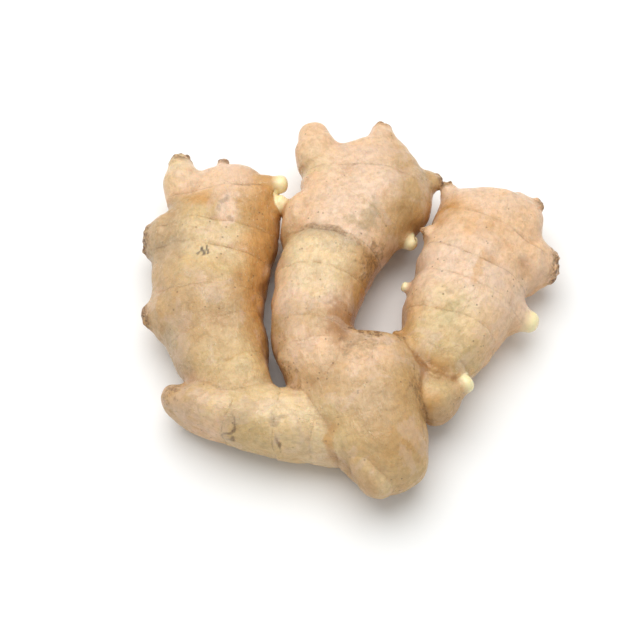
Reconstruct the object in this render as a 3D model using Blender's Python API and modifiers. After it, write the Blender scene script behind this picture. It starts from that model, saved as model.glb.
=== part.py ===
# A fresh ginger rhizome, lying as it rests on a table. Metres, +Z up.
#
# The rhizome grew as one piece, so it is one solid: a mother piece with an arm, three fingers,
# a bulb and a lobe, and the buds and nubs that stand on them. Each is a loft along its own spine,
# rooted on the limb that it grew from, and all of them are then fused into one skin.

import math

import bmesh
import bpy
import numpy as np
from mathutils import Vector

MM = 0.001

# Length, greatest width and greatest thickness of each limb.
MOTHER_LENGTH, MOTHER_WIDTH, MOTHER_THICKNESS = 50 * MM, 35 * MM, 34 * MM
ARM_LENGTH, ARM_WIDTH, ARM_THICKNESS = 64 * MM, 21.5 * MM, 26 * MM
LEFT_LENGTH, LEFT_WIDTH, LEFT_THICKNESS = 97 * MM, 38.5 * MM, 31 * MM
MIDDLE_LENGTH, MIDDLE_WIDTH, MIDDLE_THICKNESS = 103 * MM, 42 * MM, 30 * MM
RIGHT_LENGTH, RIGHT_WIDTH, RIGHT_THICKNESS = 78 * MM, 41 * MM, 31 * MM
BULB_LENGTH, BULB_WIDTH, BULB_THICKNESS = 18 * MM, 16 * MM, 19 * MM
LOBE_LENGTH, LOBE_WIDTH, LOBE_THICKNESS = 16 * MM, 15 * MM, 18 * MM

MOTHER_ROOT = (6 * MM, -14 * MM)
PRESS = 0.6 * MM  # how deep a limb that bears on the table is pressed flat
LEFT_SLIT = 1.9 * MM  # clear width between the sides of the left and middle fingers
RIGHT_SLIT = 5.4 * MM  # and between the outer halves of the middle and right fingers
RING_DEPTH = 0.6 * MM  # how far the skin draws in at each ring
RING_REACH = 2.4 * MM  # how far along the limb that draws the skin in
SKIN_VOXEL = 0.8 * MM  # grid that fuses the limbs
SKIN_SMOOTHING = 7  # passes that round the creases between limbs
TRIANGLES_KEPT = 0.055  # share of the fused skin's triangles that the solid keeps
LIMB_SIDES = 32
SECTION_STEP = 1.2 * MM
BOXINESS = 2.25  # 2 makes a limb's section an ellipse, more makes it squarer

# "from" is the parent limb, the share of the way along it, and how far across it, as a share of
# its half width there. "lift" is how high the limb's underside clears the table, and below zero
# it bears on it. "beside" is a neighbour that the limb clears by the width given, from the share
# along both given. A heading of 0 runs along +X, 90 along +Y.
# "form" rows are stations: share along, sway to the left and rise as shares of the length, then
# width and thickness as shares of the greatest. "ends" are how far back the two ends round off
# and "rings" where old leaf scars ring the limb, both as shares of the length.
LIMBS = {
    "mother": {
        "lift": -PRESS,
        "size": (MOTHER_LENGTH, MOTHER_WIDTH, MOTHER_THICKNESS),
        "heading": -85,
        "form": (
            (0.00, 0.00, 0.00, 0.86, 0.66),
            (0.20, 0.00, 0.01, 0.96, 0.86),
            (0.45, -0.01, 0.01, 1.00, 1.00),
            (0.65, -0.01, 0.00, 0.95, 0.97),
            (0.82, 0.01, -0.03, 0.83, 0.86),
            (1.00, -0.01, -0.06, 0.62, 0.70),
        ),
        "ends": (0.07, 0.22),
        "rings": (),
    },
    "arm": {
        "from": ("mother", 0.575, -0.40),
        "lift": 1.1 * MM,
        "size": (ARM_LENGTH, ARM_WIDTH, ARM_THICKNESS),
        "heading": 169,
        "form": (
            (0.00, 0.01, 0.00, 0.88, 1.00),
            (0.20, 0.06, -0.01, 0.98, 0.98),
            (0.42, 0.055, -0.01, 1.00, 0.98),
            (0.62, 0.04, 0.00, 0.92, 0.98),
            (0.80, 0.035, 0.00, 0.76, 0.88),
            (0.92, 0.03, 0.00, 0.58, 0.66),
            (1.00, 0.01, 0.01, 0.34, 0.40),
        ),
        "ends": (0.10, 0.05),
        "rings": (0.16, 0.385, 0.625),
    },
    "left_finger": {
        "from": ("arm", 0.59, 0.05),
        "lift": -PRESS,
        "beside": ("middle_finger", LEFT_SLIT, 0.0),
        "size": (LEFT_LENGTH, LEFT_WIDTH, LEFT_THICKNESS),
        "heading": 96,
        "form": (
            (0.00, -0.02, 0.00, 0.62, 0.84),
            (0.13, 0.015, 0.00, 0.69, 0.90),
            (0.28, 0.048, 0.00, 0.86, 0.97),
            (0.43, 0.06, 0.00, 0.95, 1.00),
            (0.58, 0.05, 0.00, 1.00, 1.00),
            (0.72, 0.03, 0.00, 1.00, 0.96),
            (0.86, 0.01, 0.00, 0.93, 0.86),
            (1.00, 0.00, 0.00, 0.80, 0.64),
        ),
        "ends": (0.10, 0.10),
        "rings": (0.145, 0.32, 0.45, 0.605, 0.71, 0.87),
    },
    "middle_finger": {
        "from": ("mother", 0.37, -0.70),
        "lift": 3 * MM,
        "size": (MIDDLE_LENGTH, MIDDLE_WIDTH, MIDDLE_THICKNESS),
        "heading": 86.5,
        "form": (
            (0.00, 0.00, 0.00, 0.50, 0.96),
            (0.13, 0.075, 0.01, 0.57, 0.93),
            (0.25, 0.088, 0.02, 0.65, 0.93),
            (0.38, 0.078, 0.02, 0.76, 0.96),
            (0.52, 0.038, 0.01, 0.84, 1.00),
            (0.67, -0.02, 0.01, 0.97, 1.00),
            (0.80, -0.04, 0.00, 1.00, 0.94),
            (0.92, -0.02, 0.00, 0.88, 0.82),
            (1.00, 0.00, 0.00, 0.74, 0.62),
        ),
        "ends": (0.08, 0.09),
        "rings": (0.14, 0.215, 0.39, 0.535, 0.81),
    },
    "right_finger": {
        "from": ("mother", 0.23, 0.74),
        "lift": -PRESS,
        "beside": ("middle_finger", RIGHT_SLIT, 0.5),
        "size": (RIGHT_LENGTH, RIGHT_WIDTH, RIGHT_THICKNESS),
        "heading": 67,
        "form": (
            (0.00, 0.00, 0.00, 0.50, 0.84),
            (0.14, -0.07, 0.00, 0.60, 0.90),
            (0.32, -0.09, -0.01, 0.86, 0.98),
            (0.51, -0.088, -0.01, 0.93, 1.00),
            (0.70, -0.07, -0.01, 0.97, 1.00),
            (0.84, -0.04, -0.01, 0.92, 0.88),
            (1.00, 0.00, -0.01, 0.80, 0.64),
        ),
        "ends": (0.10, 0.11),
        "rings": (0.16, 0.30, 0.475, 0.60, 0.81),
    },
    "bulb": {
        "from": ("mother", 0.53, 0.82),
        "lift": 6 * MM,
        "size": (BULB_LENGTH, BULB_WIDTH, BULB_THICKNESS),
        "heading": 36,
        "form": (
            (0.00, 0.00, 0.00, 0.72, 0.80),
            (0.28, -0.04, 0.01, 0.98, 1.00),
            (0.55, -0.02, 0.03, 1.00, 0.98),
            (0.80, 0.00, 0.05, 0.80, 0.74),
            (1.00, 0.00, 0.07, 0.52, 0.44),
        ),
        "ends": (0.20, 0.18),
        "rings": (),
    },
    "lobe": {
        "from": ("mother", 0.72, -0.10),
        "lift": 1.6 * MM,
        "size": (LOBE_LENGTH, LOBE_WIDTH, LOBE_THICKNESS),
        "heading": -80,
        "form": (
            (0.00, 0.00, 0.00, 0.85, 0.90),
            (0.40, 0.00, 0.00, 1.00, 1.00),
            (0.75, 0.00, -0.02, 0.85, 0.85),
            (1.00, 0.00, -0.04, 0.60, 0.60),
        ),
        "ends": (0.20, 0.30),
        "rings": (),
    },
}

# Nubs and buds: the limb, the share along it, the clock angle round it (0 on top, 90 on its right
# hand side, seen along its heading), the lean towards its tip in degrees, then how far it stands
# out, its width at the foot and its width at the tip.
NUBS = {
    "left_top_horn": ("left_finger", 0.96, -80, 96, 8 * MM, 12 * MM, 8 * MM),
    "left_top_point": ("left_finger", 0.985, -90, 88, 4 * MM, 6 * MM, 3 * MM),
    "left_yellow_bud": ("left_finger", 0.885, 66, 18, 9 * MM, 9 * MM, 5.5 * MM),
    "left_high_knob": ("left_finger", 0.68, -88, 10, 6 * MM, 20 * MM, 11 * MM),
    "left_low_knob": ("left_finger", 0.41, -90, 0, 6 * MM, 14 * MM, 5 * MM),
    "middle_left_horn": ("middle_finger", 0.955, -75, 88, 10 * MM, 15 * MM, 10 * MM),
    "middle_right_horn": ("middle_finger", 0.97, 60, 75, 3.5 * MM, 12 * MM, 7 * MM),
    "middle_side_point": ("middle_finger", 0.80, 82, 12, 7 * MM, 19 * MM, 5 * MM),
    "middle_shoulder": ("middle_finger", 0.63, -90, 0, 6 * MM, 24 * MM, 13 * MM),
    "middle_yellow_bud": ("middle_finger", 0.65, -108, 8, 8.5 * MM, 9 * MM, 5 * MM),
    "middle_low_bud": ("middle_finger", 0.66, 104, -8, 4 * MM, 11 * MM, 5 * MM),
    "right_dry_tip": ("right_finger", 0.955, -85, 80, 3 * MM, 5 * MM, 2.5 * MM),
    "right_corner_nub": ("right_finger", 0.93, 85, 35, 5 * MM, 8 * MM, 4 * MM),
    "right_knob": ("right_finger", 0.69, 92, 8, 8 * MM, 18 * MM, 12 * MM),
    "right_yellow_bud": ("right_finger", 0.45, 96, 0, 9 * MM, 9 * MM, 5 * MM),
    "right_scale_bud": ("right_finger", 0.72, -68, 0, 2.5 * MM, 8 * MM, 4 * MM),
    "right_low_bud": ("right_finger", 0.39, -90, 0, 4 * MM, 4 * MM, 3 * MM),
    "mother_edge_bud": ("mother", 0.03, -60, -60, 4 * MM, 5 * MM, 3 * MM),
    "bulb_yellow_bud": ("bulb", 0.92, 0, 80, 5 * MM, 7 * MM, 5 * MM),
}


def smooth_columns(stations, shares):
    """The stations' columns at these shares along, on a smooth curve through every station."""
    table = np.array(stations, float)
    at, values = table[:, 0], table[:, 1:]
    slopes = np.gradient(values, at, axis=0)
    i = np.clip(np.searchsorted(at, shares, side="right") - 1, 0, len(at) - 2)
    gap = (at[i + 1] - at[i])[:, None]
    t = ((shares - at[i]) / (at[i + 1] - at[i]))[:, None]
    return (
        values[i] * (2 * t**3 - 3 * t**2 + 1)
        + slopes[i] * gap * (t**3 - 2 * t**2 + t)
        + values[i + 1] * (3 * t**2 - 2 * t**3)
        + slopes[i + 1] * gap * (t**3 - t**2)
    )


def spine_of(name, shares):
    """Points on a limb's spine with its half width and half thickness there, ends not rounded."""
    return spine_from(root_of(name), name, shares)


def spine_from(root, name, shares):
    length, width, thickness = LIMBS[name]["size"]
    heading = math.radians(LIMBS[name]["heading"])
    ahead = np.array((math.cos(heading), math.sin(heading), 0))
    left = np.array((-math.sin(heading), math.cos(heading), 0))
    sway, rise, wide, thick = smooth_columns(LIMBS[name]["form"], shares).T
    points = root + length * (
        np.outer(shares, ahead) + np.outer(sway, left) + np.outer(rise, (0, 0, 1))
    )
    return points, wide * width / 2, thick * thickness / 2


def root_of(name):
    limb = LIMBS[name]
    root = np.array((*MOTHER_ROOT, 0))
    if "from" in limb:
        parent, share, across = limb["from"]
        points, half_width, _ = spine_of(parent, np.array([share]))
        root = points[0] + side_of(parent, share) * across * half_width[0]
    points, half_widths, half_thicknesses = spine_from(root, name, np.linspace(0, 1, 41))
    root[2] += limb["lift"] - (points[:, 2] - half_thicknesses).min()
    if "beside" in limb:
        root[0] += sideways_to_clear(root, name)
    return root


def sideways_to_clear(root, name):
    """How far along X a limb moves so that its side clears its neighbour's by the given width."""
    neighbour, slit, start = LIMBS[name]["beside"]
    shares = np.linspace(start, 1, 41)
    own, own_half, _ = spine_from(root, name, shares)
    near, near_half, _ = spine_of(neighbour, shares)
    between = own[:, None, :2] - near[None, :, :2]
    clear = np.hypot(between[..., 0], between[..., 1]) - own_half[:, None] - near_half[None, :]
    return (slit - clear.min()) * math.copysign(1, root[0] - near[0, 0])


def side_of(name, share):
    """The level direction to a limb's left, square to its spine."""
    ends = spine_of(name, np.clip([share - 0.02, share + 0.02], 0, 1))[0]
    run = ends[1] - ends[0]
    return np.array((-run[1], run[0], 0)) / math.hypot(run[0], run[1])


def end_rounding(shares, front, back):
    """1 along a limb, falling to 0 over the front and back shares as a quarter of an ellipse."""
    to_front = np.clip(shares / front, 0, 1)
    to_back = np.clip((1 - shares) / back, 0, 1)
    return np.sqrt(1 - (1 - to_front) ** 2) * np.sqrt(1 - (1 - to_back) ** 2)


def add_loft(bm, points, half_widths, half_thicknesses):
    """A closed tube of rounded sections square to its run, closing to a point at both ends."""
    points = np.array(points)
    runs = np.gradient(points, axis=0)
    angles = np.arange(LIMB_SIDES) * 2 * math.pi / LIMB_SIDES
    across = np.sign(np.cos(angles)) * np.abs(np.cos(angles)) ** (2 / BOXINESS)
    upward = np.sign(np.sin(angles)) * np.abs(np.sin(angles)) ** (2 / BOXINESS)
    rings = []
    for point, run, wide, thick in zip(points, runs, half_widths, half_thicknesses):
        run = Vector(run).normalized()
        side = run.cross(Vector((0, 0, 1)))
        side = side.normalized() if side.length > 0.05 else Vector((1, 0, 0))
        top = side.cross(run)
        ring = [Vector(point) + side * a * wide + top * u * thick for a, u in zip(across, upward)]
        rings.append([bm.verts.new(corner) for corner in ring])
    for ring, after in zip(rings, rings[1:]):
        for k in range(LIMB_SIDES):
            n = (k + 1) % LIMB_SIDES
            bm.faces.new((ring[k], ring[n], after[n], after[k]))
    bm.faces.new(reversed(rings[0]))
    bm.faces.new(rings[-1])


def ring_draw(name, shares):
    """How far each section of a limb draws in towards the rings near it."""
    drawn = np.zeros(len(shares))
    for ring in LIMBS[name]["rings"]:
        away = (shares - ring) * LIMBS[name]["size"][0] / RING_REACH
        drawn = np.maximum(drawn, RING_DEPTH * np.exp(-(away**2)))
    return drawn


def limb_shares(length, front, back):
    """Shares along a limb: even in the middle, close together where its ends round off."""
    caps = 1 - np.cos(np.linspace(0.12, math.pi / 2, 8))
    middle = np.linspace(front, 1 - back, max(4, round(length / SECTION_STEP)))
    return np.concatenate([caps[:-1] * front, middle, (1 - caps[:-1] * back)[::-1]])


def add_limb(bm, name):
    front, back = LIMBS[name]["ends"]
    shares = limb_shares(LIMBS[name]["size"][0], front, back)
    points, half_widths, half_thicknesses = spine_of(name, shares)
    taper = end_rounding(shares, front, back)
    drawn = ring_draw(name, shares)
    add_loft(bm, points, (half_widths - drawn) * taper, (half_thicknesses - drawn) * taper)


def add_nub(bm, name):
    limb, share, clock, lean, height, foot, tip = NUBS[name]
    front, back = LIMBS[limb]["ends"]
    points, half_width, half_thickness = spine_of(limb, np.array([share]))
    taper = end_rounding(np.array([share]), front, back)[0]
    left = Vector(side_of(limb, share))
    ahead = left.cross(Vector((0, 0, 1)))
    angle, lean = math.radians(clock), math.radians(lean)
    outward = Vector((0, 0, 1)) * math.cos(angle) - left * math.sin(angle)
    reach = taper / math.hypot(
        math.cos(angle) / half_thickness[0], math.sin(angle) / half_width[0]
    )
    direction = outward * math.cos(lean) + ahead * math.sin(lean)
    surface = Vector(points[0]) + outward * reach
    steps = np.linspace(-1.0, 1.0, 17)
    run = [surface + direction * height * step for step in steps]
    swell = tip / 2 + (foot - tip) / 2 * (1 - np.clip(steps, 0, 1)) ** 1.6
    taper = end_rounding((steps + 1) / 2, 0.1, min(0.4, tip / height / 4))
    add_loft(bm, run, swell * taper + 0.01 * MM, swell * taper + 0.01 * MM)


def clear_scene():
    for obj in list(bpy.data.objects):
        bpy.data.objects.remove(obj)


def make_skin(collection):
    """Every limb and nub in one mesh, fused, softened and thinned by modifiers."""
    bm = bmesh.new()
    for name in LIMBS:
        add_limb(bm, name)
    for name in NUBS:
        add_nub(bm, name)
    mesh = bpy.data.meshes.new("ginger_rhizome")
    bm.to_mesh(mesh)
    bm.free()
    skin = bpy.data.objects.new("ginger_rhizome", mesh)
    collection.objects.link(skin)
    fuse = skin.modifiers.new("fuse limbs", "REMESH")
    fuse.mode = "VOXEL"
    fuse.voxel_size = SKIN_VOXEL
    soften = skin.modifiers.new("soften creases", "SMOOTH")
    soften.factor = 0.5
    soften.iterations = SKIN_SMOOTHING
    thin = skin.modifiers.new("thin triangles", "DECIMATE")
    thin.ratio = TRIANGLES_KEPT
    return skin


def stand_on_table(skin, cutters):
    """Centres the rhizome over the origin and presses its underside flat where it bears."""
    bpy.context.view_layer.update()
    shape = skin.evaluated_get(bpy.context.evaluated_depsgraph_get())
    corners = np.array([corner[:] for corner in shape.bound_box])
    low, high = corners.min(axis=0), corners.max(axis=0)
    skin.location = (-(low[0] + high[0]) / 2, -(low[1] + high[1]) / 2, 0)
    table_size = 2 * (high - low).max()
    bm = bmesh.new()
    bmesh.ops.create_cube(bm, size=table_size)
    mesh = bpy.data.meshes.new("table")
    bm.to_mesh(mesh)
    bm.free()
    table = bpy.data.objects.new("table", mesh)
    table.location.z = -table_size / 2
    table.hide_render = True
    table.display_type = "WIRE"
    cutters.objects.link(table)
    flatten = skin.modifiers.new("flatten where it bears", "BOOLEAN")
    flatten.operation = "DIFFERENCE"
    flatten.object = table


def ginger_material():
    material = bpy.data.materials.new("ginger_skin")
    material.use_nodes = True
    shader = material.node_tree.nodes["Principled BSDF"]
    shader.inputs["Base Color"].default_value = (0.68, 0.47, 0.26, 1)
    shader.inputs["Roughness"].default_value = 0.5
    shader.inputs["Metallic"].default_value = 0
    return material


def main():
    clear_scene()
    rhizome = bpy.data.collections.new("ginger_root")
    cutters = bpy.data.collections.new("cutters")
    bpy.context.scene.collection.children.link(rhizome)
    bpy.context.scene.collection.children.link(cutters)
    skin = make_skin(rhizome)
    skin.data.materials.append(ginger_material())
    stand_on_table(skin, cutters)


main()
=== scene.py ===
import math

import bmesh
import bpy
import numpy as np
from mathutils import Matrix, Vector


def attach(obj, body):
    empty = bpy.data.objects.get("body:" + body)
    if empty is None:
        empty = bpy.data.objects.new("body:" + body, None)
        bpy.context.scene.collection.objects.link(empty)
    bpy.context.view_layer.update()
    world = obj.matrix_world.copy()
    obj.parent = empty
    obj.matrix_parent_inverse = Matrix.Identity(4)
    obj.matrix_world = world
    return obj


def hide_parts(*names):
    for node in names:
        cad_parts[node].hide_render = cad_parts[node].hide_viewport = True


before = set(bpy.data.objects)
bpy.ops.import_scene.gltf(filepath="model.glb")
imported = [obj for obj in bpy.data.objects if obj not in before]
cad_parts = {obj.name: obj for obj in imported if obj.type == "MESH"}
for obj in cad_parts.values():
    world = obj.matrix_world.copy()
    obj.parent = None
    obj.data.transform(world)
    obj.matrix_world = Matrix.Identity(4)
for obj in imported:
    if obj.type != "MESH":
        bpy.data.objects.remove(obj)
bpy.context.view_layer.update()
print("CAD frame loaded")

# Lengths in the dictionaries are millimetres. The rhizome is modelled in its own layout frame and
# moved by this much onto the CAD part.
layoutShift = np.array((-0.27, -3.02, 0.0))

# Skin tones as display colours, 0 to 1.
tones = {
    "pink": (0.925, 0.800, 0.690),
    "peach": (0.925, 0.772, 0.622),
    "cream": (0.915, 0.806, 0.634),
    "yellow": (0.845, 0.728, 0.530),
    "tan": (0.800, 0.664, 0.488),
    "greyTan": (0.765, 0.664, 0.530),
    "olive": (0.790, 0.705, 0.515),
    "orange": (0.820, 0.615, 0.365),
    "rust": (0.660, 0.440, 0.235),
    "ochre": (0.790, 0.635, 0.425),
    "lilac": (0.870, 0.752, 0.668),
    "brown": (0.46, 0.34, 0.23),
    "soot": (0.33, 0.28, 0.24),
}

# Each limb: where its spine starts, length, width and thickness, and heading (0 along +X, 90
# along +Y). "form" rows: share along, sway left and rise as shares of the length, width and
# thickness as shares of the greatest. "ends" round off the two ends. "rings" rows: share along,
# ledge height, lean across, how marked its line is. "tones" rows: share along, then the skin tone
# on its left side, top and right side; on the fingers the orange and rust in a side column are
# partly painted shade, where that flank turns from the light or faces a neighbour. "blend" is how
# softly its root melts into its neighbours, and "groove" how deeply the skin is creased round its root.
limbs = {
    "mother": {
        "root": (6.00, -14.00, 16.04),
        "size": (50, 35, 34),
        "heading": -85,
        "form": (
            (0.00, -0.010, 0.00, 0.98, 0.70),
            (0.20, -0.045, 0.01, 1.12, 0.88),
            (0.45, -0.065, 0.01, 1.11, 1.00),
            (0.65, -0.01, 0.00, 0.95, 0.97),
            (0.82, 0.08, -0.03, 0.80, 0.86),
            (1.00, 0.22, -0.08, 0.52, 0.60),
        ),
        "ends": (0.07, 0.20),
        "rings": ((0.02, 0.25, 0.0, 0.5),),
        "tones": (
            (0.00, "tan", "tan", "tan"),
            (0.20, "tan", "peach", "tan"),
            (0.42, "ochre", "tan", "tan"),
            (0.62, "ochre", "tan", "yellow"),
            (0.85, "ochre", "ochre", "ochre"),
            (1.00, "olive", "yellow", "tan"),
        ),
        "blend": 0,
        "groove": 0,
    },
    "arm": {
        "root": (1.07, -43.30, 14.55),
        "size": (64, 21.5, 26),
        "heading": 169,
        "form": (
            (0.00, 0.05, 0.00, 1.00, 1.00),
            (0.20, 0.063, -0.01, 1.06, 0.98),
            (0.42, 0.052, -0.01, 1.03, 0.98),
            (0.62, 0.045, 0.00, 0.93, 0.98),
            (0.80, 0.045, 0.00, 0.73, 0.88),
            (0.92, 0.033, 0.00, 0.52, 0.64),
            (1.00, -0.005, 0.01, 0.26, 0.36),
        ),
        "ends": (0.10, 0.05),
        "rings": ((0.16, 0.2, 1.0, 0.5), (0.385, 0.25, -1.0, 0.8), (0.625, 0.45, 1.5, 0.8)),
        "tones": (
            (0.00, "cream", "cream", "peach"),
            (0.20, "cream", "cream", "cream"),
            (0.42, "yellow", "cream", "cream"),
            (0.60, "yellow", "yellow", "cream"),
            (0.68, "peach", "cream", "tan"),
            (0.90, "tan", "tan", "peach"),
            (0.98, "orange", "ochre", "rust"),
        ),
        "blend": 7,
        "groove": 0.2,
    },
    "leftFinger": {
        "root": (-36.25, -39.21, 14.97),
        "size": (94.5, 39.4, 31),
        "heading": 96,
        "form": (
            (0.00, -0.02, 0.00, 0.62, 0.84),
            (0.13, 0.016, 0.00, 0.665, 0.90),
            (0.28, 0.054, 0.00, 0.84, 0.97),
            (0.43, 0.067, 0.00, 0.935, 1.00),
            (0.58, 0.051, 0.00, 1.00, 1.00),
            (0.72, 0.020, 0.00, 1.03, 0.96),
            (0.86, -0.012, 0.00, 0.95, 0.84),
            (1.00, 0.000, 0.00, 0.70, 0.58),
        ),
        "ends": (0.10, 0.08),
        "rings": (
            (0.145, 0.2, -1.0, 0.4),
            (0.32, 0.25, -2.0, 0.5),
            (0.45, 0.3, 1.0, 0.6),
            (0.605, 0.3, 2.0, 0.8),
            (0.71, 0.3, -2.0, 0.6),
            (0.87, 0.45, -1.0, 0.8),
        ),
        # The right column's orange is painted shade, on the flank that faces the middle finger and turns
        # from the light.
        "tones": (
            (0.00, "tan", "tan", "orange"),
            (0.14, "tan", "yellow", "orange"),
            (0.30, "greyTan", "tan", "orange"),
            (0.36, "tan", "tan", "orange"),
            (0.45, "tan", "tan", "orange"),
            (0.52, "tan", "yellow", "orange"),
            (0.62, "greyTan", "cream", "orange"),
            (0.72, "tan", "yellow", "orange"),
            (0.80, "tan", "ochre", "orange"),
            (0.86, "peach", "peach", "orange"),
            (1.00, "cream", "pink", "tan"),
        ),
        "blend": 9,
        "groove": 0.1,
    },
    "middleFinger": {
        "root": (-4.97, -32.96, 17.40),
        "size": (98.6, 42, 30),
        "heading": 86.5,
        "form": (
            (0.00, 0.00, 0.00, 0.50, 0.96),
            (0.13, 0.080, 0.01, 0.595, 0.93),
            (0.25, 0.094, 0.02, 0.685, 0.93),
            (0.38, 0.080, 0.02, 0.755, 0.96),
            (0.52, 0.045, 0.01, 0.81, 1.00),
            (0.67, -0.013, 0.01, 0.95, 1.00),
            (0.80, -0.050, 0.00, 1.05, 0.94),
            (0.92, -0.028, 0.00, 0.92, 0.82),
            (1.00, 0.00, 0.00, 0.74, 0.62),
        ),
        "ends": (0.08, 0.075),
        "rings": (
            (0.14, 0.2, 1.0, 0.4),
            (0.215, 0.2, 2.0, 0.4),
            (0.39, 0.35, -1.5, 0.6),
            (0.535, 0.6, -2.0, 1.0),
            (0.70, 0.10, 7.0, 0.3),
            (0.84, 0.15, 4.0, 0.5),
        ),
        # The right column's rust and orange are painted shade, on the flank that turns from the light.
        "tones": (
            (0.00, "orange", "tan", "rust"),
            (0.12, "tan", "peach", "rust"),
            (0.22, "tan", "tan", "rust"),
            (0.30, "peach", "pink", "orange"),
            (0.38, "peach", "cream", "orange"),
            (0.46, "tan", "cream", "orange"),
            (0.52, "tan", "greyTan", "orange"),
            (0.56, "peach", "pink", "peach"),
            (0.72, "peach", "pink", "ochre"),
            (0.84, "cream", "pink", "tan"),
            (1.00, "peach", "peach", "peach"),
        ),
        "blend": 15,
        "groove": 0.12,
    },
    "rightFinger": {
        "root": (19.30, -25.40, 15.90),
        "size": (77.5, 41, 31),
        "heading": 67,
        "form": (
            (0.00, -0.04, 0.00, 0.56, 0.84),
            (0.13, -0.070, 0.00, 0.65, 0.90),
            (0.30, -0.092, -0.01, 0.87, 0.98),
            (0.48, -0.093, -0.01, 0.93, 1.00),
            (0.68, -0.075, -0.01, 0.96, 1.00),
            (0.83, -0.070, -0.01, 0.95, 0.88),
            (1.00, -0.035, -0.01, 0.87, 0.64),
        ),
        "ends": (0.10, 0.08),
        "rings": (
            (0.10, 0.2, 0.0, 0.4),
            (0.25, 0.25, -1.0, 0.5),
            (0.44, 0.3, 2.0, 0.6),
            (0.572, 0.3, 3.0, 0.7),
            (0.797, 0.35, 3.0, 0.6),
        ),
        # At the root, the rust and orange are partly the skin's own tone and partly painted shade where
        # it faces the middle finger.
        "tones": (
            (0.00, "rust", "orange", "orange"),
            (0.12, "orange", "yellow", "yellow"),
            (0.30, "peach", "cream", "peach"),
            (0.45, "pink", "pink", "pink"),
            (0.57, "pink", "pink", "peach"),
            (0.68, "peach", "peach", "peach"),
            (0.81, "orange", "peach", "peach"),
            (1.00, "pink", "pink", "peach"),
        ),
        "blend": 6,
        "groove": 0.7,
    },
    "bulb": {
        "root": (22.00, -38.00, 15.39),
        "size": (17.5, 16.6, 18.5),
        "heading": 44,
        "form": (
            (0.00, 0.00, 0.00, 0.72, 0.80),
            (0.28, -0.04, 0.01, 0.98, 1.00),
            (0.55, -0.02, 0.03, 1.00, 0.98),
            (0.80, 0.00, 0.05, 0.80, 0.74),
            (1.00, 0.00, 0.07, 0.52, 0.44),
        ),
        "ends": (0.20, 0.18),
        "rings": ((0.78, 0.2, 0.0, 0.6),),
        "tones": (
            (0.00, "rust", "orange", "tan"),
            (0.35, "tan", "yellow", "tan"),
            (1.00, "tan", "yellow", "tan"),
        ),
        "blend": 2,
        "groove": 0.5,
    },
    "lobe": {
        "root": (1.40, -51.20, 18.20),
        "size": (18.5, 13.5, 18),
        "heading": -58,
        "form": (
            (0.00, 0.00, 0.00, 0.85, 0.90),
            (0.40, 0.00, 0.00, 1.00, 1.00),
            (0.75, 0.00, -0.12, 0.88, 0.85),
            (1.00, 0.00, -0.26, 0.66, 0.60),
        ),
        "ends": (0.20, 0.30),
        "rings": (),
        "tones": ((0.00, "ochre", "yellow", "tan"), (1.00, "yellow", "cream", "tan")),
        "blend": 1,
        "groove": 0.25,
    },
}

# Nubs and buds: the middle of the foot, the direction it stands in, how far it stands out, its
# width at the foot and at the tip, and how the tip is: waxy, dry or plain skin. The last two fill
# the corner between the mother, the bulb and the right finger.
nubs = (
    ((-59.0, 50.6, 17.8), (-0.14, 1.00, 0.02), 10.4, 14.0, 7.8, "dry"),
    ((-44.4, 52.6, 19.0), (0.00, 1.00, 0.05), 5.6, 8.0, 3.6, "dry"),
    ((-29.6, 46.4, 21.0), (1.00, 0.02, 0.12), 8.6, 8.5, 5.2, "waxy"),
    ((-65.0, 26.4, 15.6), (-0.99, 0.06, 0.00), 6.8, 19.0, 11.0, "dry"),
    ((-64.4, -2.6, 15.0), (-0.99, -0.13, 0.00), 6.0, 18.0, 5.0, "dry"),
    ((-11.3, 62.6, 21.1), (-0.22, 0.98, 0.01), 10.0, 15.0, 10.0, "plain"),
    ((12.0, 66.0, 21.0), (0.07, 1.00, 0.02), 6.8, 11.0, 6.2, "dry"),
    ((24.0, 41.4, 17.0), (0.99, -0.12, 0.00), 5.6, 24.0, 15.0, "plain"),
    ((28.6, 49.4, 18.0), (0.95, 0.26, 0.00), 5.0, 9.0, 4.6, "dry"),
    ((-19.0, 32.2, 18.0), (-0.97, 0.20, 0.00), 4.2, 23.0, 17.0, "plain"),
    ((-20.4, 38.0, 18.2), (-0.82, 0.42, 0.38), 7.0, 7.5, 4.9, "waxy"),
    ((17.0, 28.8, 15.8), (0.87, -0.50, 0.02), 8.2, 11.0, 4.6, "waxy"),
    ((36.2, 45.0, 17.0), (-0.30, 1.00, 0.15), 5.0, 7.0, 4.4, "dry"),
    ((63.4, 38.4, 16.5), (0.86, 0.50, 0.07), 6.6, 15.0, 4.6, "dry"),
    ((65.0, 17.7, 14.4), (0.99, -0.11, -0.03), 8.0, 21.0, 11.0, "dry"),
    ((57.0, -1.9, 13.4), (0.93, -0.36, -0.06), 8.6, 15.0, 5.5, "waxy"),
    ((29.0, 27.6, 20.0), (-0.99, -0.10, 0.05), 4.6, 8.0, 4.4, "dry"),
    ((21.4, 7.7, 15.6), (-0.95, 0.30, 0.10), 4.0, 5.0, 3.8, "waxy"),
    ((15.8, -14.4, 20.6), (0.05, 0.86, 0.50), 3.8, 5.0, 3.0, "dry"),
    ((33.8, -32.4, 19.0), (0.87, 0.47, 0.14), 7.4, 9.0, 5.4, "waxy"),
    ((29.0, -26.5, 12.0), (0.1, 0.1, 1.00), 11.0, 17.0, 10.0, "plain"),
    ((23.8, -22.2, 14.0), (0.1, 0.1, 1.00), 10.0, 13.0, 8.0, "plain"),
)

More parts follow.
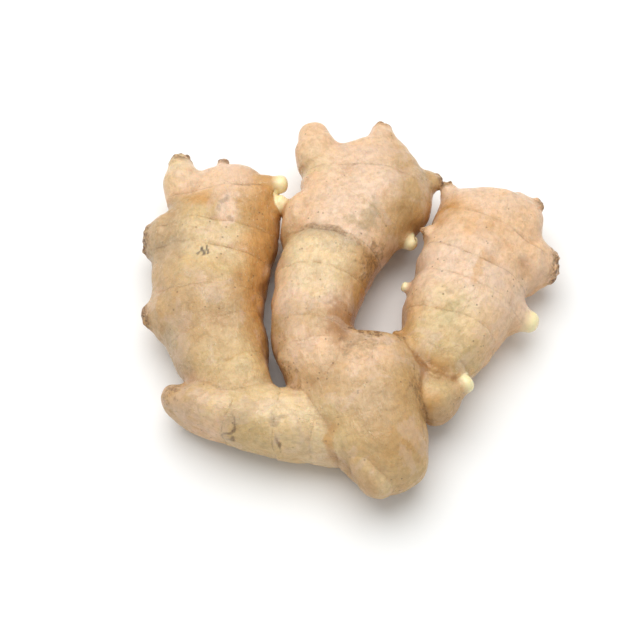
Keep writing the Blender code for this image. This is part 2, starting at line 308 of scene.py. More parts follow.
# Marks on the skin: limb, share along, how far across as a share of the half width (right is
# positive), length along, width across, tone, strength, and how ragged the edge is.
marks = (
    ("leftFinger", 0.766, 0.15, 14, 8.5, "pink", 1.0, 0.4),
    ("leftFinger", 0.800, 0.06, 2.6, 4.0, "soot", 0.40, 1.3),
    ("leftFinger", 0.772, 0.00, 4.5, 1.4, "soot", 0.38, 1.3),
    ("leftFinger", 0.748, 0.22, 3.0, 2.0, "soot", 0.35, 1.3),
    ("leftFinger", 0.578, -0.205, 1.3, 1.6, "soot", 0.8, 0.8),
    ("leftFinger", 0.590, -0.15, 2.2, 0.9, "soot", 0.9, 0.8),
    ("leftFinger", 0.580, -0.10, 1.2, 1.6, "soot", 0.8, 0.8),
    ("leftFinger", 0.585, -0.04, 2.4, 0.9, "soot", 0.9, 0.8),
    ("leftFinger", 0.80, -0.3, 8, 12, "orange", 0.6, 0.8),
    ("leftFinger", 0.42, 0.05, 12, 12, "cream", 0.2, 0.6),
    ("middleFinger", 0.33, 0.0, 10, 8, "cream", 0.7, 0.6),
    ("middleFinger", 0.435, 0.1, 9, 5, "cream", 0.5, 0.8),
    ("middleFinger", 0.645, 0.42, 13, 7, "greyTan", 0.8, 0.9),
    ("middleFinger", 0.60, 0.16, 5, 4, "greyTan", 0.7, 1.1),
    ("middleFinger", 0.535, -0.2, 3, 14, "brown", 0.35, 1.0),
    ("rightFinger", 0.25, -0.05, 10, 10, "olive", 0.7, 0.6),
    ("rightFinger", 0.337, -0.22, 3, 5, "greyTan", 0.6, 1.2),
    ("rightFinger", 0.326, 0.05, 6, 3, "olive", 0.6, 1.0),
    ("rightFinger", 0.508, 0.12, 9, 3, "orange", 0.5, 1.0),
    ("rightFinger", 0.583, 0.22, 4, 7, "orange", 0.35, 1.0),
    ("rightFinger", 0.722, -0.1, 8, 16, "orange", 0.3, 1.0),
    ("arm", 0.375, -0.30, 6, 3, "greyTan", 0.8, 1.2),
    # Painted shade: the orange band in the fold where the arm meets the mother.
    ("arm", 0.085, -0.62, 4.2, 16, "orange", 0.9, 0.3),
    # Painted shade: the two rust marks on the middle finger's right flank by its root.
    ("middleFinger", 0.20, 0.44, 26, 11, "rust", 0.6, 0.4),
    ("middleFinger", 0.13, 0.52, 12, 6, "rust", 0.9, 0.5),
    ("middleFinger", 0.50, 0.75, 18, 8, "crust", 0.55, 1.2),
    ("middleFinger", 0.535, 0.1, 2.0, 26, "crust", 0.4, 1.5),
    ("middleFinger", 0.06, -0.6, 12, 5, "crust", 0.4, 1.5),
    ("mother", 0.03, 0.1, 3.4, 28, "crust", 0.95, 1.2),
    ("mother", 0.10, 0.1, 5.0, 24, "lilac", 0.6, 0.9),
    ("mother", 0.02, -0.65, 4.0, 6, "crust", 0.9, 1.2),
    ("mother", 0.18, 0.1, 8, 14, "crust", 0.25, 1.6),
    ("mother", 0.60, -0.95, 22, 4, "crust", 0.55, 1.4),
    ("arm", 0.97, -0.1, 5, 14, "crust", 0.6, 1.2),
    ("arm", 0.60, -0.80, 1.0, 9, "brown", 0.7, 0.6),
    ("arm", 0.345, -0.90, 1.0, 5, "brown", 0.8, 0.6),
    ("arm", 0.80, -0.2, 9, 9, "lilac", 0.5, 1.0),
    ("mother", 0.15, 0.1, 10, 14, "greyTan", 0.5, 0.9),
    ("mother", 0.30, 0.2, 6, 4, "pink", 0.4, 0.9),
)


# How the limbs are fused and their skin is shaped. The three shade colours multiply the tint: they are
# painted shade on steep flanks, in creases and in the slit between the left and middle fingers.
skin = {
    "voxel": 0.5,  # grid of the fused skin
    "rounding": 10,  # passes that soften every crease
    "lumps": ((14.0, 0.92), (6.0, 0.36), (2.6, 0.10)),  # size and height of the skin's lumps
    "bulge": 0.25,  # how far each length between two rings swells
    "endBoxiness": 2.7,
    "boxiness": 2.25,  # 2 makes a limb's section an ellipse
    "sides": 48,
    "flankShadeTint": (0.94, 0.82, 0.60),
    "creaseShadeTint": (0.62, 0.40, 0.20),
    "slitShadeTint": (0.40, 0.26, 0.13),
}


# The rows' columns at these shares along, on a smooth curve through every row.
def curveThrough(rows, shares):
    table = np.array(rows, float)
    at, values = table[:, 0], table[:, 1:]
    slopes = np.gradient(values, at, axis=0)
    i = np.clip(np.searchsorted(at, shares, side="right") - 1, 0, len(at) - 2)
    gap = (at[i + 1] - at[i])[:, None]
    t = ((shares - at[i]) / (at[i + 1] - at[i]))[:, None]
    return (
        values[i] * (2 * t**3 - 3 * t**2 + 1)
        + slopes[i] * gap * (t**3 - 2 * t**2 + t)
        + values[i + 1] * (3 * t**2 - 2 * t**3)
        + slopes[i + 1] * gap * (t**3 - t**2)
    )


# 1 along a limb, falling to 0 over the front and back shares.
def endRounding(shares, front, back):
    power = skin["endBoxiness"]
    toFront = np.clip(shares / front, 0, 1)
    toBack = np.clip((1 - shares) / back, 0, 1)
    rounded = (1 - (1 - toFront) ** power) * (1 - (1 - toBack) ** power)
    return rounded ** (1 / power)


# A limb's spine with its section at each share: points, runs, sides, tops, half width, thickness.
def spineOf(limb, shares):
    length, width, thickness = limb["size"]
    turn = math.radians(limb["heading"])
    sway, rise, wide, thick = curveThrough(limb["form"], shares).T
    points = np.array(limb["root"]) + length * (
        np.outer(shares, (math.cos(turn), math.sin(turn), 0))
        + np.outer(sway, (-math.sin(turn), math.cos(turn), 0))
        + np.outer(rise, (0, 0, 1))
    )
    runs = np.gradient(points, axis=0)
    runs /= np.linalg.norm(runs, axis=1)[:, None]
    sides = np.cross(runs, (0, 0, 1))
    sides /= np.linalg.norm(sides, axis=1)[:, None]
    return points, runs, sides, np.cross(sides, runs), wide * width / 2, thick * thickness / 2


def addLoft(bm, points, sides, tops, halfWidths, halfThicknesses):
    angles = np.arange(skin["sides"]) * 2 * math.pi / skin["sides"]
    power = 2 / skin["boxiness"]
    across = np.sign(np.cos(angles)) * np.abs(np.cos(angles)) ** power
    upward = np.sign(np.sin(angles)) * np.abs(np.sin(angles)) ** power
    loops = []
    for point, side, top, wide, thick in zip(points, sides, tops, halfWidths, halfThicknesses):
        loop = point + np.outer(across * wide, side) + np.outer(upward * thick, top)
        loops.append([bm.verts.new(corner) for corner in loop])
    for loop, after in zip(loops, loops[1:]):
        for k in range(len(loop)):
            n = (k + 1) % len(loop)
            bm.faces.new((loop[k], loop[n], after[n], after[k]))
    bm.faces.new(reversed(loops[0]))
    bm.faces.new(loops[-1])


def addLimb(bm, limb):
    length, (front, back) = limb["size"][0], limb["ends"]
    caps = 1 - np.cos(np.linspace(0.1, math.pi / 2, 10))
    middle = np.linspace(front, 1 - back, max(4, round(length)))
    shares = np.concatenate([caps[:-1] * front, middle, (1 - caps[:-1] * back)[::-1]])
    points, _, sides, tops, wide, thick = spineOf(limb, shares)
    taper = endRounding(shares, front, back)
    addLoft(bm, points, sides, tops, wide * taper, thick * taper)


def addNub(bm, nub):
    foot, direction, height, footWidth, tipWidth, tip = nub
    direction = np.array(direction) / np.linalg.norm(direction)
    side = np.cross(direction, (0, 0, 1))
    side /= np.linalg.norm(side)
    steps = np.linspace(-1, 1, 25)
    points = np.array(foot) + np.outer(steps * height, direction)
    swell = tipWidth / 2 + (footWidth - tipWidth) / 2 * (1 - np.clip(steps, 0, 1)) ** 1.6
    if tip == "waxy":
        swell = swell * (1 + 0.10 * np.exp(-(((steps - 0.78) / 0.18) ** 2)))
        swell = swell * (1 - 0.14 * np.exp(-(((steps - 0.42) / 0.12) ** 2)))
    taper = endRounding((steps + 1) / 2, 0.1, min(0.4, tipWidth / height / 4)) + 0.01
    rows = np.tile(side, (len(steps), 1))
    tops = np.tile(np.cross(side, direction), (len(steps), 1))
    addLoft(bm, points, rows, tops, swell * taper, swell * taper)


def fusedSkin():
    bm = bmesh.new()
    for limb in limbs.values():
        addLimb(bm, limb)
    for nub in nubs:
        addNub(bm, nub)
    mesh = bpy.data.meshes.new("limbs")
    bm.to_mesh(mesh)
    bm.free()
    rough = bpy.data.objects.new("limbs", mesh)
    bpy.context.scene.collection.objects.link(rough)
    fuse = rough.modifiers.new("fuse", "REMESH")
    fuse.mode = "VOXEL"
    fuse.voxel_size = skin["voxel"]
    shape = rough.evaluated_get(bpy.context.evaluated_depsgraph_get())
    fused = bpy.data.meshes.new_from_object(shape)
    bpy.data.objects.remove(rough)
    return fused


def pointsOf(mesh):
    flat = np.empty(len(mesh.vertices) * 3, np.float32)
    mesh.vertices.foreach_get("co", flat)
    return flat.reshape(-1, 3).astype(float)


def normalsOf(mesh, points):
    mesh.vertices.foreach_set("co", points.astype(np.float32).ravel())
    mesh.update()
    flat = np.empty(len(points) * 3, np.float32)
    mesh.vertex_normals.foreach_get("vector", flat)
    return flat.reshape(-1, 3).astype(float)


# Moves every point towards the middle of its neighbours, by the weight given.
def relaxed(values, edges, passes, weight=0.5):
    count = len(values)
    degree = np.bincount(edges.ravel(), minlength=count)
    weight = np.broadcast_to(weight, count)
    for _ in range(passes):
        for k in range(values.shape[1]):
            column = values[:, k]
            total = np.bincount(edges[:, 0], column[edges[:, 1]], count)
            total += np.bincount(edges[:, 1], column[edges[:, 0]], count)
            values[:, k] = column + weight * (total / degree - column)
    return values


# Smooth noise between -1 and 1 with the given feature size.
def noise(points, size, seed):
    table = np.random.default_rng(seed).uniform(-1, 1, (32, 32, 32))
    place = points / size + 100
    corner = np.floor(place).astype(int)
    part = place - corner
    part = part * part * (3 - 2 * part)
    total = np.zeros(len(points))
    for dx in (0, 1):
        for dy in (0, 1):
            for dz in (0, 1):
                share = (part[:, 0] if dx else 1 - part[:, 0]) * (
                    part[:, 1] if dy else 1 - part[:, 1]
                )
                share = share * (part[:, 2] if dz else 1 - part[:, 2])
                i, j, k = ((corner + (dx, dy, dz)) % 32).T
                total += share * table[i, j, k]
    return total * 1.6


# Where every point lies on a limb: share along, across, up, and how far outside its skin it is.
def onLimb(limb, points):
    shares = np.linspace(0, 1, 161)
    spine, runs, sides, tops, wide, thick = spineOf(limb, shares)
    taper = endRounding(shares, *limb["ends"])
    wide, thick = wide * taper + 0.05, thick * taper + 0.05
    share, across = np.zeros(len(points)), np.zeros(len(points))
    upward, outside = np.zeros(len(points)), np.full(len(points), 50.0)
    reach = max(limb["size"][1:]) / 2 + 14
    low, high = spine.min(axis=0) - reach, spine.max(axis=0) + reach
    near = np.flatnonzero(((points > low) & (points < high)).all(axis=1))
    for part in np.array_split(near, max(1, len(near) // 8000)):
        away = points[part, None, :] - spine[None, :, :]
        i = (away**2).sum(axis=2).argmin(axis=1)
        q = points[part] - spine[i]
        share[part] = np.clip(shares[i] + (q * runs[i]).sum(axis=1) / limb["size"][0], 0, 1)
        a, b = (q * sides[i]).sum(axis=1), (q * tops[i]).sum(axis=1)
        power = skin["boxiness"]
        ratio = ((np.abs(a) / wide[i]) ** power + (np.abs(b) / thick[i]) ** power) ** (1 / power)
        size = np.linalg.norm(q, axis=1)
        outside[part] = size - size / np.maximum(ratio, 1e-3)
        across[part], upward[part] = a, b
    return share, across, upward, outside


def linear(display):
    c = np.array(display, float)
    return np.where(c <= 0.04045, c / 12.92, ((c + 0.055) / 1.055) ** 2.4)


def setAttribute(mesh, name, kind, field, values):
    layer = mesh.attributes.new(name, kind, "POINT")
    layer.data.foreach_set(field, np.ascontiguousarray(values, np.float32).ravel())


def toneAcross(limb, share, side):
    table = np.array(
        [[row[0], *(c for tone in row[1:] for c in linear(tones[tone]))] for row in limb["tones"]]
    )
    columns = np.stack([np.interp(share, table[:, 0], table[:, k]) for k in range(1, 10)], axis=1)
    left, top, right = columns[:, 0:3], columns[:, 3:6], columns[:, 6:9]
    toRight = np.clip((side - 0.25) / 0.55, 0, 1)[:, None]
    toLeft = np.clip((-side - 0.25) / 0.55, 0, 1)[:, None]
    toRight, toLeft = toRight * toRight * (3 - 2 * toRight), toLeft * toLeft * (3 - 2 * toLeft)
    return top * (1 - toRight) * (1 - toLeft) + right * toRight + left * toLeft


def makeRhizome():
    mesh = fusedSkin()
    points = pointsOf(mesh)
    flat = np.empty(len(mesh.edges) * 2, np.int32)
    mesh.edges.foreach_get("vertices", flat)
    edges = flat.reshape(-1, 2)
    print("fused", len(points), "points")

    # Creases that limbs and nubs flow over are softened, the rest are only rounded.
    melt = np.zeros(len(points))
    for limb in limbs.values():
        if limb["blend"]:
            away = np.linalg.norm((points - np.array(limb["root"])) * (1, 1, 0.5), axis=1)
            reach = limb["size"][1] * 0.55 + limb["blend"]
            melt = np.maximum(melt, np.clip(1.3 - away / reach, 0, 1) * limb["blend"] / 9)
    for foot, _, _, footWidth, _, _ in nubs:
        away = np.linalg.norm(points - np.array(foot), axis=1)
        reach = footWidth / 2 + 5
        melt = np.maximum(melt, np.clip((1.25 - away / reach) * 4, 0, 1) * min(0.6, footWidth / 14))
    points = relaxed(points, edges, skin["rounding"])
    for _ in range(12):
        normals = normalsOf(mesh, points)
        hollow = ((relaxed(points.copy(), edges, 12) - points) * normals).sum(axis=1)
        hollow = relaxed(np.clip(hollow / 0.07, 0, 1)[:, None], edges, 6)[:, 0]
        points = relaxed(points, edges, 30, np.clip(melt * hollow * 1.2, 0, 1) * 0.8)

    rows = [onLimb(limb, points) for limb in limbs.values()]
    outside = np.array([row[3] for row in rows])
    order = np.argsort(outside, axis=0)
    owner = order[0]
    first = np.take_along_axis(outside, order[:1], axis=0)[0]
    second = np.take_along_axis(outside, order[1:2], axis=0)[0]
    seam = np.exp(-(((second - first) / 3.0) ** 2))
    child = np.maximum(order[0], order[1])
    groove = np.array([limb["groove"] for limb in limbs.values()])[child]
    groove = groove * np.exp(-(((second - first) / 1.1) ** 2)) * np.clip(2.5 - np.abs(first), 0, 1)
    picked = np.arange(len(points))
    share = np.array([row[0] for row in rows])[owner, picked]
    across = np.array([row[1] for row in rows])[owner, picked]
    upward = np.array([row[2] for row in rows])[owner, picked]
    print("placed on limbs")

    # Nub and bud tips: 0 at the foot to 1 at the tip.
    waxy, dry = np.zeros(len(points)), np.zeros(len(points))
    onNub = np.zeros(len(points))
    for foot, direction, height, footWidth, tipWidth, tip in nubs:
        direction = np.array(direction) / np.linalg.norm(direction)
        q = points - np.array(foot)
        out = q @ direction / height
        aside = np.linalg.norm(q - np.outer(q @ direction, direction), axis=1)
        radius = tipWidth / 2 + (footWidth - tipWidth) / 2 * (1 - np.clip(out, 0, 1)) ** 1.6
        close = np.clip((radius + 1.1 - aside) / 0.7, 0, 1)
        rise = np.clip(out, 0, 1.2) * close * (out < 1.25) * np.clip((first - 0.2) / 0.8, 0, 1)
        onNub = np.maximum(onNub, np.clip(rise * 1.5, 0, 1))
        if tip == "waxy":
            waxy = np.maximum(waxy, np.clip((rise - 0.30) / 0.35, 0, 1))
        if tip == "dry":
            dry = np.maximum(dry, np.clip((rise - 0.42) / 0.4, 0, 1))

    # Rings: signed distance to the nearest, positive towards the tip of the limb.
    gap, ledge, marked = np.full(len(points), 9.0), np.zeros(len(points)), np.zeros(len(points))
    wobble = 1.1 * noise(points, 13.0, 11) + 0.3 * noise(points, 4.0, 12)
    for index, limb in enumerate(limbs.values()):
        halfWidth = limb["size"][1] / 2
        for at, height, lean, line in limb["rings"]:
            away = (share - at) * limb["size"][0] + lean * across / halfWidth + wobble
            nearer = (owner == index) & (np.abs(away) < np.abs(gap))
            gap[nearer], ledge[nearer], marked[nearer] = away[nearer], height, line
    fade = (1 - seam) * (1 - np.clip(onNub * 1.5, 0, 1))
    uneven = np.clip(0.55 + 0.9 * noise(points, 9.0, 13), 0.05, 1.3)
    profile = np.where(gap < 0, np.exp(gap / 3.2), -0.75 * np.exp(-gap / 2.2))
    profile = np.where(np.abs(gap) < 0.45, -gap / 0.45 * 0.8, profile) * ledge * uneven
    profile += skin["bulge"] * (np.clip(np.abs(gap) / 8, 0, 1) ** 0.6 - 0.6)
    groove *= np.clip(0.8 + 0.7 * noise(points, 6.0, 14), 0.15, 1.3)
    points = points + normalsOf(mesh, points) * (profile * fade - groove)[:, None]

    normals = normalsOf(mesh, points)
    lumps = sum(h * noise(points, s, 20 + n) for n, (s, h) in enumerate(skin["lumps"]))
    crusty = dry * (0.45 * noise(points, 1.9, 31) + 0.3 * noise(points, 1.1, 32))
    points = points + normals * (lumps * (1 - 0.7 * np.maximum(onNub, waxy)) + crusty)[:, None]
    points = relaxed(points, edges, 1)
    points[:, 2] = np.maximum(points[:, 2], 0)
    normals = normalsOf(mesh, points)
    wide = ((relaxed(points.copy(), edges, 50, 0.6) - points) * normals).sum(axis=1)
    fine = ((relaxed(points.copy(), edges, 5, 0.6) - points) * normals).sum(axis=1)
    wide = relaxed(np.clip(wide, 0, 1.3)[:, None], edges, 14)[:, 0]
    print("skin shaped")

    # Tones, with the limb coordinates drifting so that no patch has a ruled edge.
    drift = np.stack([noise(points, 6.0, 41), noise(points, 6.0, 42)]) * 1.8
    drift += np.stack([noise(points, 2.0, 43), noise(points, 2.0, 44)]) * 0.6
    tint = np.zeros((len(points), 3))
    weights = np.exp(-(outside - first) / 1.6)
    weights /= weights.sum(axis=0)
    for index, (name, limb) in enumerate(limbs.items()):
        length, width, _ = limb["size"]
        use = np.flatnonzero(weights[index] > 0.01)
        s = rows[index][0][use] + drift[0][use] / length
        side = rows[index][1][use] / (width * 0.5) + drift[1][use] / width
        colour = toneAcross(limb, s, side)
        top = np.clip(rows[index][2][use] / 4, 0, 1)
        for target, at, off, markLength, markWidth, tone, strength, ragged in marks:
            if target != name:
                continue
            x = (s - at) * length / (markLength / 2)
            y = (side - off) * width / 2 / (markWidth / 2)
            edge = np.hypot(x, y) + ragged * 0.35 * noise(points[use], 1.6, 51)
            cover = np.clip((1.15 - edge) / 0.5, 0, 1) * strength * top
            if tone == "crust":
                dry[use] = np.maximum(dry[use], cover * (weights[index][use] > 0.3))
            else:
                colour += cover[:, None] * (linear(tones[tone]) - colour)
        tint[use] += weights[index][use][:, None] * colour

    # Painted shade: steep flanks, most of all those facing +X, away from the key light, are darkened and
    # warmed.
    steep = np.clip((0.60 - normals[:, 2]) / 0.60, 0, 1)
    flankShade = steep * (0.35 + 0.65 * np.clip(normals[:, 0] * 1.5 + 0.3, 0, 1))
    tint *= 1 - flankShade[:, None] * (1 - np.array(skin["flankShadeTint"]))
    # Painted shade: the creases at the roots, and the steep sides of the slit between the left and middle
    # fingers, are darkened to brown.
    creaseShade = np.clip(wide / 0.9, 0, 1) * seam
    tint *= 1 - creaseShade[:, None] * (1 - np.array(skin["creaseShadeTint"]))
    names = list(limbs)
    slit = sorted((names.index("leftFinger"), names.index("middleFinger")))
    pair = np.sort(order[:2], axis=0)
    slitShade = ((pair[0] == slit[0]) & (pair[1] == slit[1])) * steep * np.exp(-((second / 2.2) ** 2))
    tint *= 1 - slitShade[:, None] * (1 - np.array(skin["slitShadeTint"]))

    setAttribute(mesh, "tint", "FLOAT_COLOR", "color", np.c_[tint, np.ones(len(tint))])
    lengths = np.array([limb["size"][0] for limb in limbs.values()])[owner]
    grain = np.stack([across + 50 * owner, upward, share * lengths], axis=1)
    setAttribute(mesh, "grain", "FLOAT_VECTOR", "vector", grain)
    near = np.exp(-((np.abs(gap) / 2.2) ** 2)) * fade * marked * np.clip(uneven + 0.6, 0, 1)
    setAttribute(mesh, "ring", "FLOAT_VECTOR", "vector", np.stack([gap, near, fade], axis=1))
    hollow = np.stack([np.clip(wide / 0.8, 0, 1), np.clip(fine / 0.12, 0, 1), seam], axis=1)
    setAttribute(mesh, "hollow", "FLOAT_VECTOR", "vector", hollow)
    setAttribute(mesh, "tips", "FLOAT_VECTOR", "vector", np.stack([waxy, dry, onNub], axis=1))

    points = (points + layoutShift) / 1000
    mesh.vertices.foreach_set("co", points.astype(np.float32).ravel())
    mesh.polygons.foreach_set("use_smooth", np.ones(len(mesh.polygons), bool))
    mesh.update()
    mesh.name = "gingerRhizome"
    piece = bpy.data.objects.new("gingerRhizome", mesh)
    bpy.context.scene.collection.objects.link(piece)
    piece.data.materials.clear()
    piece.data.materials.append(skinMaterial())
    return piece


# Finish of the skin. Stains multiply the colour, and the rest are display colours.
look = {
    "roughness": 0.34,
    "specular": 0.5,
    "subsurface": 0.28,
    "subsurfaceReach": (0.0030, 0.0014, 0.0006),
    # painted shade colour for creases and hollows
    "creaseShade": (0.70, 0.47, 0.22),
    "ringLine": (0.45, 0.31, 0.19),
    "fringe": (0.95, 0.86, 0.70),
    "speck": (0.36, 0.25, 0.17),
    "wax": (0.965, 0.905, 0.715),
    "dry": (0.72, 0.55, 0.36),
    "bump": 1.0,
    "broadStain": (1.03, 0.99, 0.93, 1),
    "patchStain": (0.82, 0.80, 0.76, 1),
    "wornStain": (0.90, 0.90, 0.90, 1),
    "streakStain": (0.86, 0.83, 0.78, 1),
    "grainStain": (0.78, 0.74, 0.69, 1),
}


class Nodes:
    def __init__(self, tree):
        self.tree = tree

    def feed(self, socket, value):
        if isinstance(value, bpy.types.NodeSocket):
            self.tree.links.new(value, socket)
        elif value is not None:
            socket.default_value = value

    def math(self, operation, a, b=None):
        made = self.tree.nodes.new("ShaderNodeMath")
        made.operation = operation
        for socket, value in zip(made.inputs, (a, b)):
            self.feed(socket, value)
        return made.outputs[0]

    def ramp(self, value, low, high, toLow=0.0, toHigh=1.0):
        made = self.tree.nodes.new("ShaderNodeMapRange")
        made.interpolation_type = "SMOOTHSTEP"
        keys = ("Value", "From Min", "From Max", "To Min", "To Max")
        for key, given in zip(keys, (value, low, high, toLow, toHigh)):
            self.feed(made.inputs[key], given)
        return made.outputs["Result"]

    def noise(self, vector, scale, detail=2.0, rough=0.5, warp=0.0):
        made = self.tree.nodes.new("ShaderNodeTexNoise")
        self.feed(made.inputs["Vector"], vector)
        keys = ("Scale", "Detail", "Roughness", "Distortion")
        for key, given in zip(keys, (scale, detail, rough, warp)):
            self.feed(made.inputs[key], given)
        return made.outputs["Fac"]

    def mix(self, share, a, b, blend="MIX"):
        made = self.tree.nodes.new("ShaderNodeMix")
        made.data_type = "RGBA"
        made.blend_type = blend
        made.clamp_factor = True
        for socket, value in zip((made.inputs[0], made.inputs[6], made.inputs[7]), (share, a, b)):
            self.feed(socket, value)
        return made.outputs[2]

    def stained(self, share, colour, stain):
        return self.mix(share, colour, self.mix(1.0, colour, stain, "MULTIPLY"))

    def attribute(self, name):
        made = self.tree.nodes.new("ShaderNodeAttribute")
        made.attribute_name = name
        return made

    def split(self, name):
        made = self.tree.nodes.new("ShaderNodeSeparateXYZ")
        self.tree.links.new(self.attribute(name).outputs["Vector"], made.inputs[0])
        return made.outputs

    def stretch(self, vector, by):
        made = self.tree.nodes.new("ShaderNodeVectorMath")
        made.operation = "MULTIPLY"
        self.feed(made.inputs[0], vector)
        made.inputs[1].default_value = by
        return made.outputs[0]


def colourOf(name):
    return (*linear(look[name]), 1)


def skinMaterial():
    material = bpy.data.materials.new("gingerSkin")
    material.use_nodes = True
    tree = material.node_tree
    n = Nodes(tree)
    shader = tree.nodes["Principled BSDF"]
    place = n.stretch(tree.nodes.new("ShaderNodeTexCoord").outputs["Object"], (1000, 1000, 1000))
    grain = n.attribute("grain").outputs["Vector"]
    gap, ringNear, _ = n.split("ring")
    wide, fine, _ = n.split("hollow")
    waxy, dry, _ = n.split("tips")

    broad = n.noise(place, 0.16, 3, 0.55, 0.4)
    middle = n.noise(place, 0.55, 4, 0.6, 0.3)
    small = n.noise(place, 2.2, 3, 0.6)
    fibres = n.noise(n.stretch(grain, (0.9, 0.9, 0.22)), 1.0, 4, 0.6, 1.2)
    rough = n.noise(place, 1.1, 5, 0.7)

    colour = n.attribute("tint").outputs["Color"]
    colour = n.stained(n.ramp(broad, 0.40, 0.62), colour, look["broadStain"])
    colour = n.stained(n.ramp(middle, 0.35, 0.68, 0.0, 0.9), colour, look["patchStain"])
    blush = n.ramp(n.noise(place, 0.075, 4, 0.6, 0.8), 0.52, 0.60, 0.0, 0.28)
    colour = n.mix(blush, colour, (*linear(tones["lilac"]), 1))
    # thin outer skin worn through in ragged patches
    worn = n.ramp(n.noise(place, 0.22, 6, 0.62, 0.6), 0.555, 0.585)
    colour = n.stained(n.math("MULTIPLY", worn, 0.55), colour, look["wornStain"])
    streak = n.ramp(fibres, 0.38, 0.66)
    colour = n.stained(n.math("MULTIPLY", streak, 0.3), colour, look["streakStain"])
    colour = n.stained(n.ramp(small, 0.55, 0.75, 0.0, 0.5), colour, look["grainStain"])
    pale = n.ramp(rough, 0.62, 0.70, 0.0, 0.35)
    colour = n.mix(pale, colour, colourOf("fringe"))

    # pale flecks, drawn out along the limb, thick in some places and thin in others
    fleck = n.ramp(n.noise(n.stretch(grain, (1.4, 1.4, 0.55)), 1.0, 5, 0.75, 0.5), 0.60, 0.65)
    thick = n.math("MAXIMUM", n.ramp(n.noise(place, 0.10, 3, 0.6), 0.46, 0.66), ringNear)
    fleck = n.math("MULTIPLY", fleck, n.math("ADD", 0.2, n.math("MULTIPLY", thick, 0.8)))
    colour = n.mix(n.math("MULTIPLY", fleck, 0.85), colour, colourOf("fringe"))

    # painted shade in creases and hollows, wide and fine
    colour = n.stained(n.math("MULTIPLY", wide, 0.75), colour, colourOf("creaseShade"))
    colour = n.mix(n.math("MULTIPLY", fine, 0.30), colour, colourOf("creaseShade"))

    # rings: a thin broken line, a pale ragged fringe beside it
    broken = n.ramp(n.noise(place, 0.28, 5, 0.65), 0.38, 0.62, 0.05, 1.0)
    edge = n.math("ABSOLUTE", n.math("ADD", gap, n.ramp(rough, 0.3, 0.7, -0.25, 0.25)))
    line = n.math("MULTIPLY", n.ramp(edge, 0.10, 0.42, 1.0, 0.0), ringNear)
    line = n.math("MULTIPLY", line, broken)
    fringe = n.math("MULTIPLY", n.ramp(gap, 0.15, 0.5), n.ramp(gap, 0.6, 1.5, 1.0, 0.0))
    flakes = n.ramp(n.noise(place, 1.3, 4, 0.7), 0.50, 0.60)
    fringe = n.math("MULTIPLY", n.math("MULTIPLY", fringe, ringNear), flakes)
    colour = n.mix(n.math("MULTIPLY", fringe, 0.55), colour, colourOf("fringe"))
    colour = n.mix(n.math("MULTIPLY", line, 0.5), colour, colourOf("ringLine"))

    # specks
    spots = n.tree.nodes.new("ShaderNodeTexVoronoi")
    n.feed(spots.inputs["Vector"], place)
    spots.inputs["Scale"].default_value = 0.42
    sparse = n.ramp(n.noise(place, 0.12, 2), 0.50, 0.62)
    speck = n.math("MULTIPLY", n.ramp(spots.outputs["Distance"], 0.08, 0.20, 1.0, 0.0), sparse)
    colour = n.mix(n.math("MULTIPLY", speck, 0.55), colour, colourOf("speck"))

    # bud and nub tips
    colour = n.mix(n.math("MULTIPLY", waxy, n.ramp(small, 0.2, 0.8, 1.0, 0.85)), colour, colourOf("wax"))
    crust = n.math("MULTIPLY", dry, n.ramp(middle, 0.36, 0.56, 0.15, 1.0))
    crustTone = n.mix(n.ramp(rough, 0.40, 0.60), colourOf("dry"), colourOf("ringLine"))
    colour = n.mix(crust, colour, crustTone)
    n.feed(shader.inputs["Base Color"], colour)

    roughness = n.ramp(middle, 0.3, 0.7, look["roughness"] - 0.07, look["roughness"] + 0.10)
    roughness = n.math("ADD", roughness, n.math("MULTIPLY", waxy, -0.12))
    n.feed(shader.inputs["Roughness"], roughness)
    shader.inputs["Specular IOR Level"].default_value = look["specular"]
    shader.inputs["Subsurface Weight"].default_value = look["subsurface"]
    shader.inputs["Subsurface Radius"].default_value = look["subsurfaceReach"]
    shader.inputs["Subsurface Scale"].default_value = 1.0

    height = n.math("MULTIPLY", middle, 0.30)
    crumbs = n.math("MULTIPLY", dry, rough)
    reliefs = ((small, 0.07), (fibres, 0.16), (worn, -0.05), (fleck, 0.10), (line, -0.12))
    for relief, by in (*reliefs, (fringe, 0.08), (crumbs, 0.5)):
        height = n.math("ADD", height, n.math("MULTIPLY", relief, by))
    bump = tree.nodes.new("ShaderNodeBump")
    bump.inputs["Strength"].default_value = look["bump"]
    bump.inputs["Distance"].default_value = 0.001
    smoothWax = n.math("SUBTRACT", 1.0, n.math("MULTIPLY", waxy, 0.8))
    n.feed(bump.inputs["Height"], n.math("MULTIPLY", height, smoothWax))
    n.feed(shader.inputs["Normal"], bump.outputs["Normal"])
    return material


rhizome = makeRhizome()
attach(rhizome, "root")
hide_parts("ginger_rhizome")
print("rhizome made")

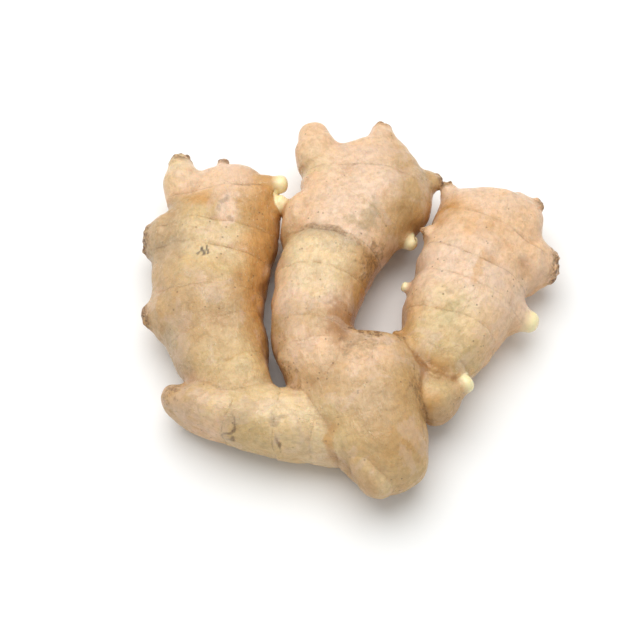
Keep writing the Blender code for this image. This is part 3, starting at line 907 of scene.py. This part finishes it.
# Floor, light and camera.
studio = {
    "floorSize": 6.0,
    "floorTone": (0.97, 0.97, 0.97),
    "floorRoughness": 0.7,
    "floorSpecular": 0.2,
    "skyTone": (0.94, 0.99, 1.0),
    "skyStrength": 0.52,
    "keyStrength": 15.3,
    "keyTone": (1.0, 0.985, 0.965),
    "keySize": 1.4,
    "keyFrom": (-0.14, 0.34, 1.20),
}

floorMaterial = bpy.data.materials.new("paleFloor")
floorMaterial.use_nodes = True
floorShader = floorMaterial.node_tree.nodes["Principled BSDF"]
floorShader.inputs["Base Color"].default_value = (*linear(studio["floorTone"]), 1)
floorShader.inputs["Roughness"].default_value = studio["floorRoughness"]
floorShader.inputs["Specular IOR Level"].default_value = studio["floorSpecular"]
bpy.ops.mesh.primitive_plane_add(size=studio["floorSize"])
floor = bpy.context.active_object
floor.name = "floor"
floor.data.materials.append(floorMaterial)

world = bpy.data.worlds.new("studio")
bpy.context.scene.world = world
world.use_nodes = True
sky = world.node_tree.nodes["Background"]
sky.inputs["Color"].default_value = (*studio["skyTone"], 1)
sky.inputs["Strength"].default_value = studio["skyStrength"]

keyLight = bpy.data.lights.new("key", "AREA")
keyLight.shape = "DISK"
keyLight.size = studio["keySize"]
keyLight.energy = studio["keyStrength"]
keyLight.color = studio["keyTone"]
key = bpy.data.objects.new("key", keyLight)
key.location = studio["keyFrom"]
key.rotation_euler = (-Vector(studio["keyFrom"])).to_track_quat("-Z", "Y").to_euler()
bpy.context.scene.collection.objects.link(key)

bpy.context.scene.view_settings.view_transform = "Standard"

lens = {"length": 85, "sensor": 36, "elevation": 62, "away": 0.514, "target": (-0.01027, -0.00702, 0.015)}
camera = bpy.data.objects.new("camera", bpy.data.cameras.new("camera"))
camera.data.lens = lens["length"]
camera.data.sensor_width = lens["sensor"]
camera.data.clip_start, camera.data.clip_end = 0.01, 20
tilt = math.radians(lens["elevation"])
back = Vector((0, -math.cos(tilt), math.sin(tilt)))
camera.location = Vector(lens["target"]) + back * lens["away"]
camera.rotation_euler = (-back).to_track_quat("-Z", "Y").to_euler()
bpy.context.scene.collection.objects.link(camera)
bpy.context.scene.camera = camera
print("studio ready")
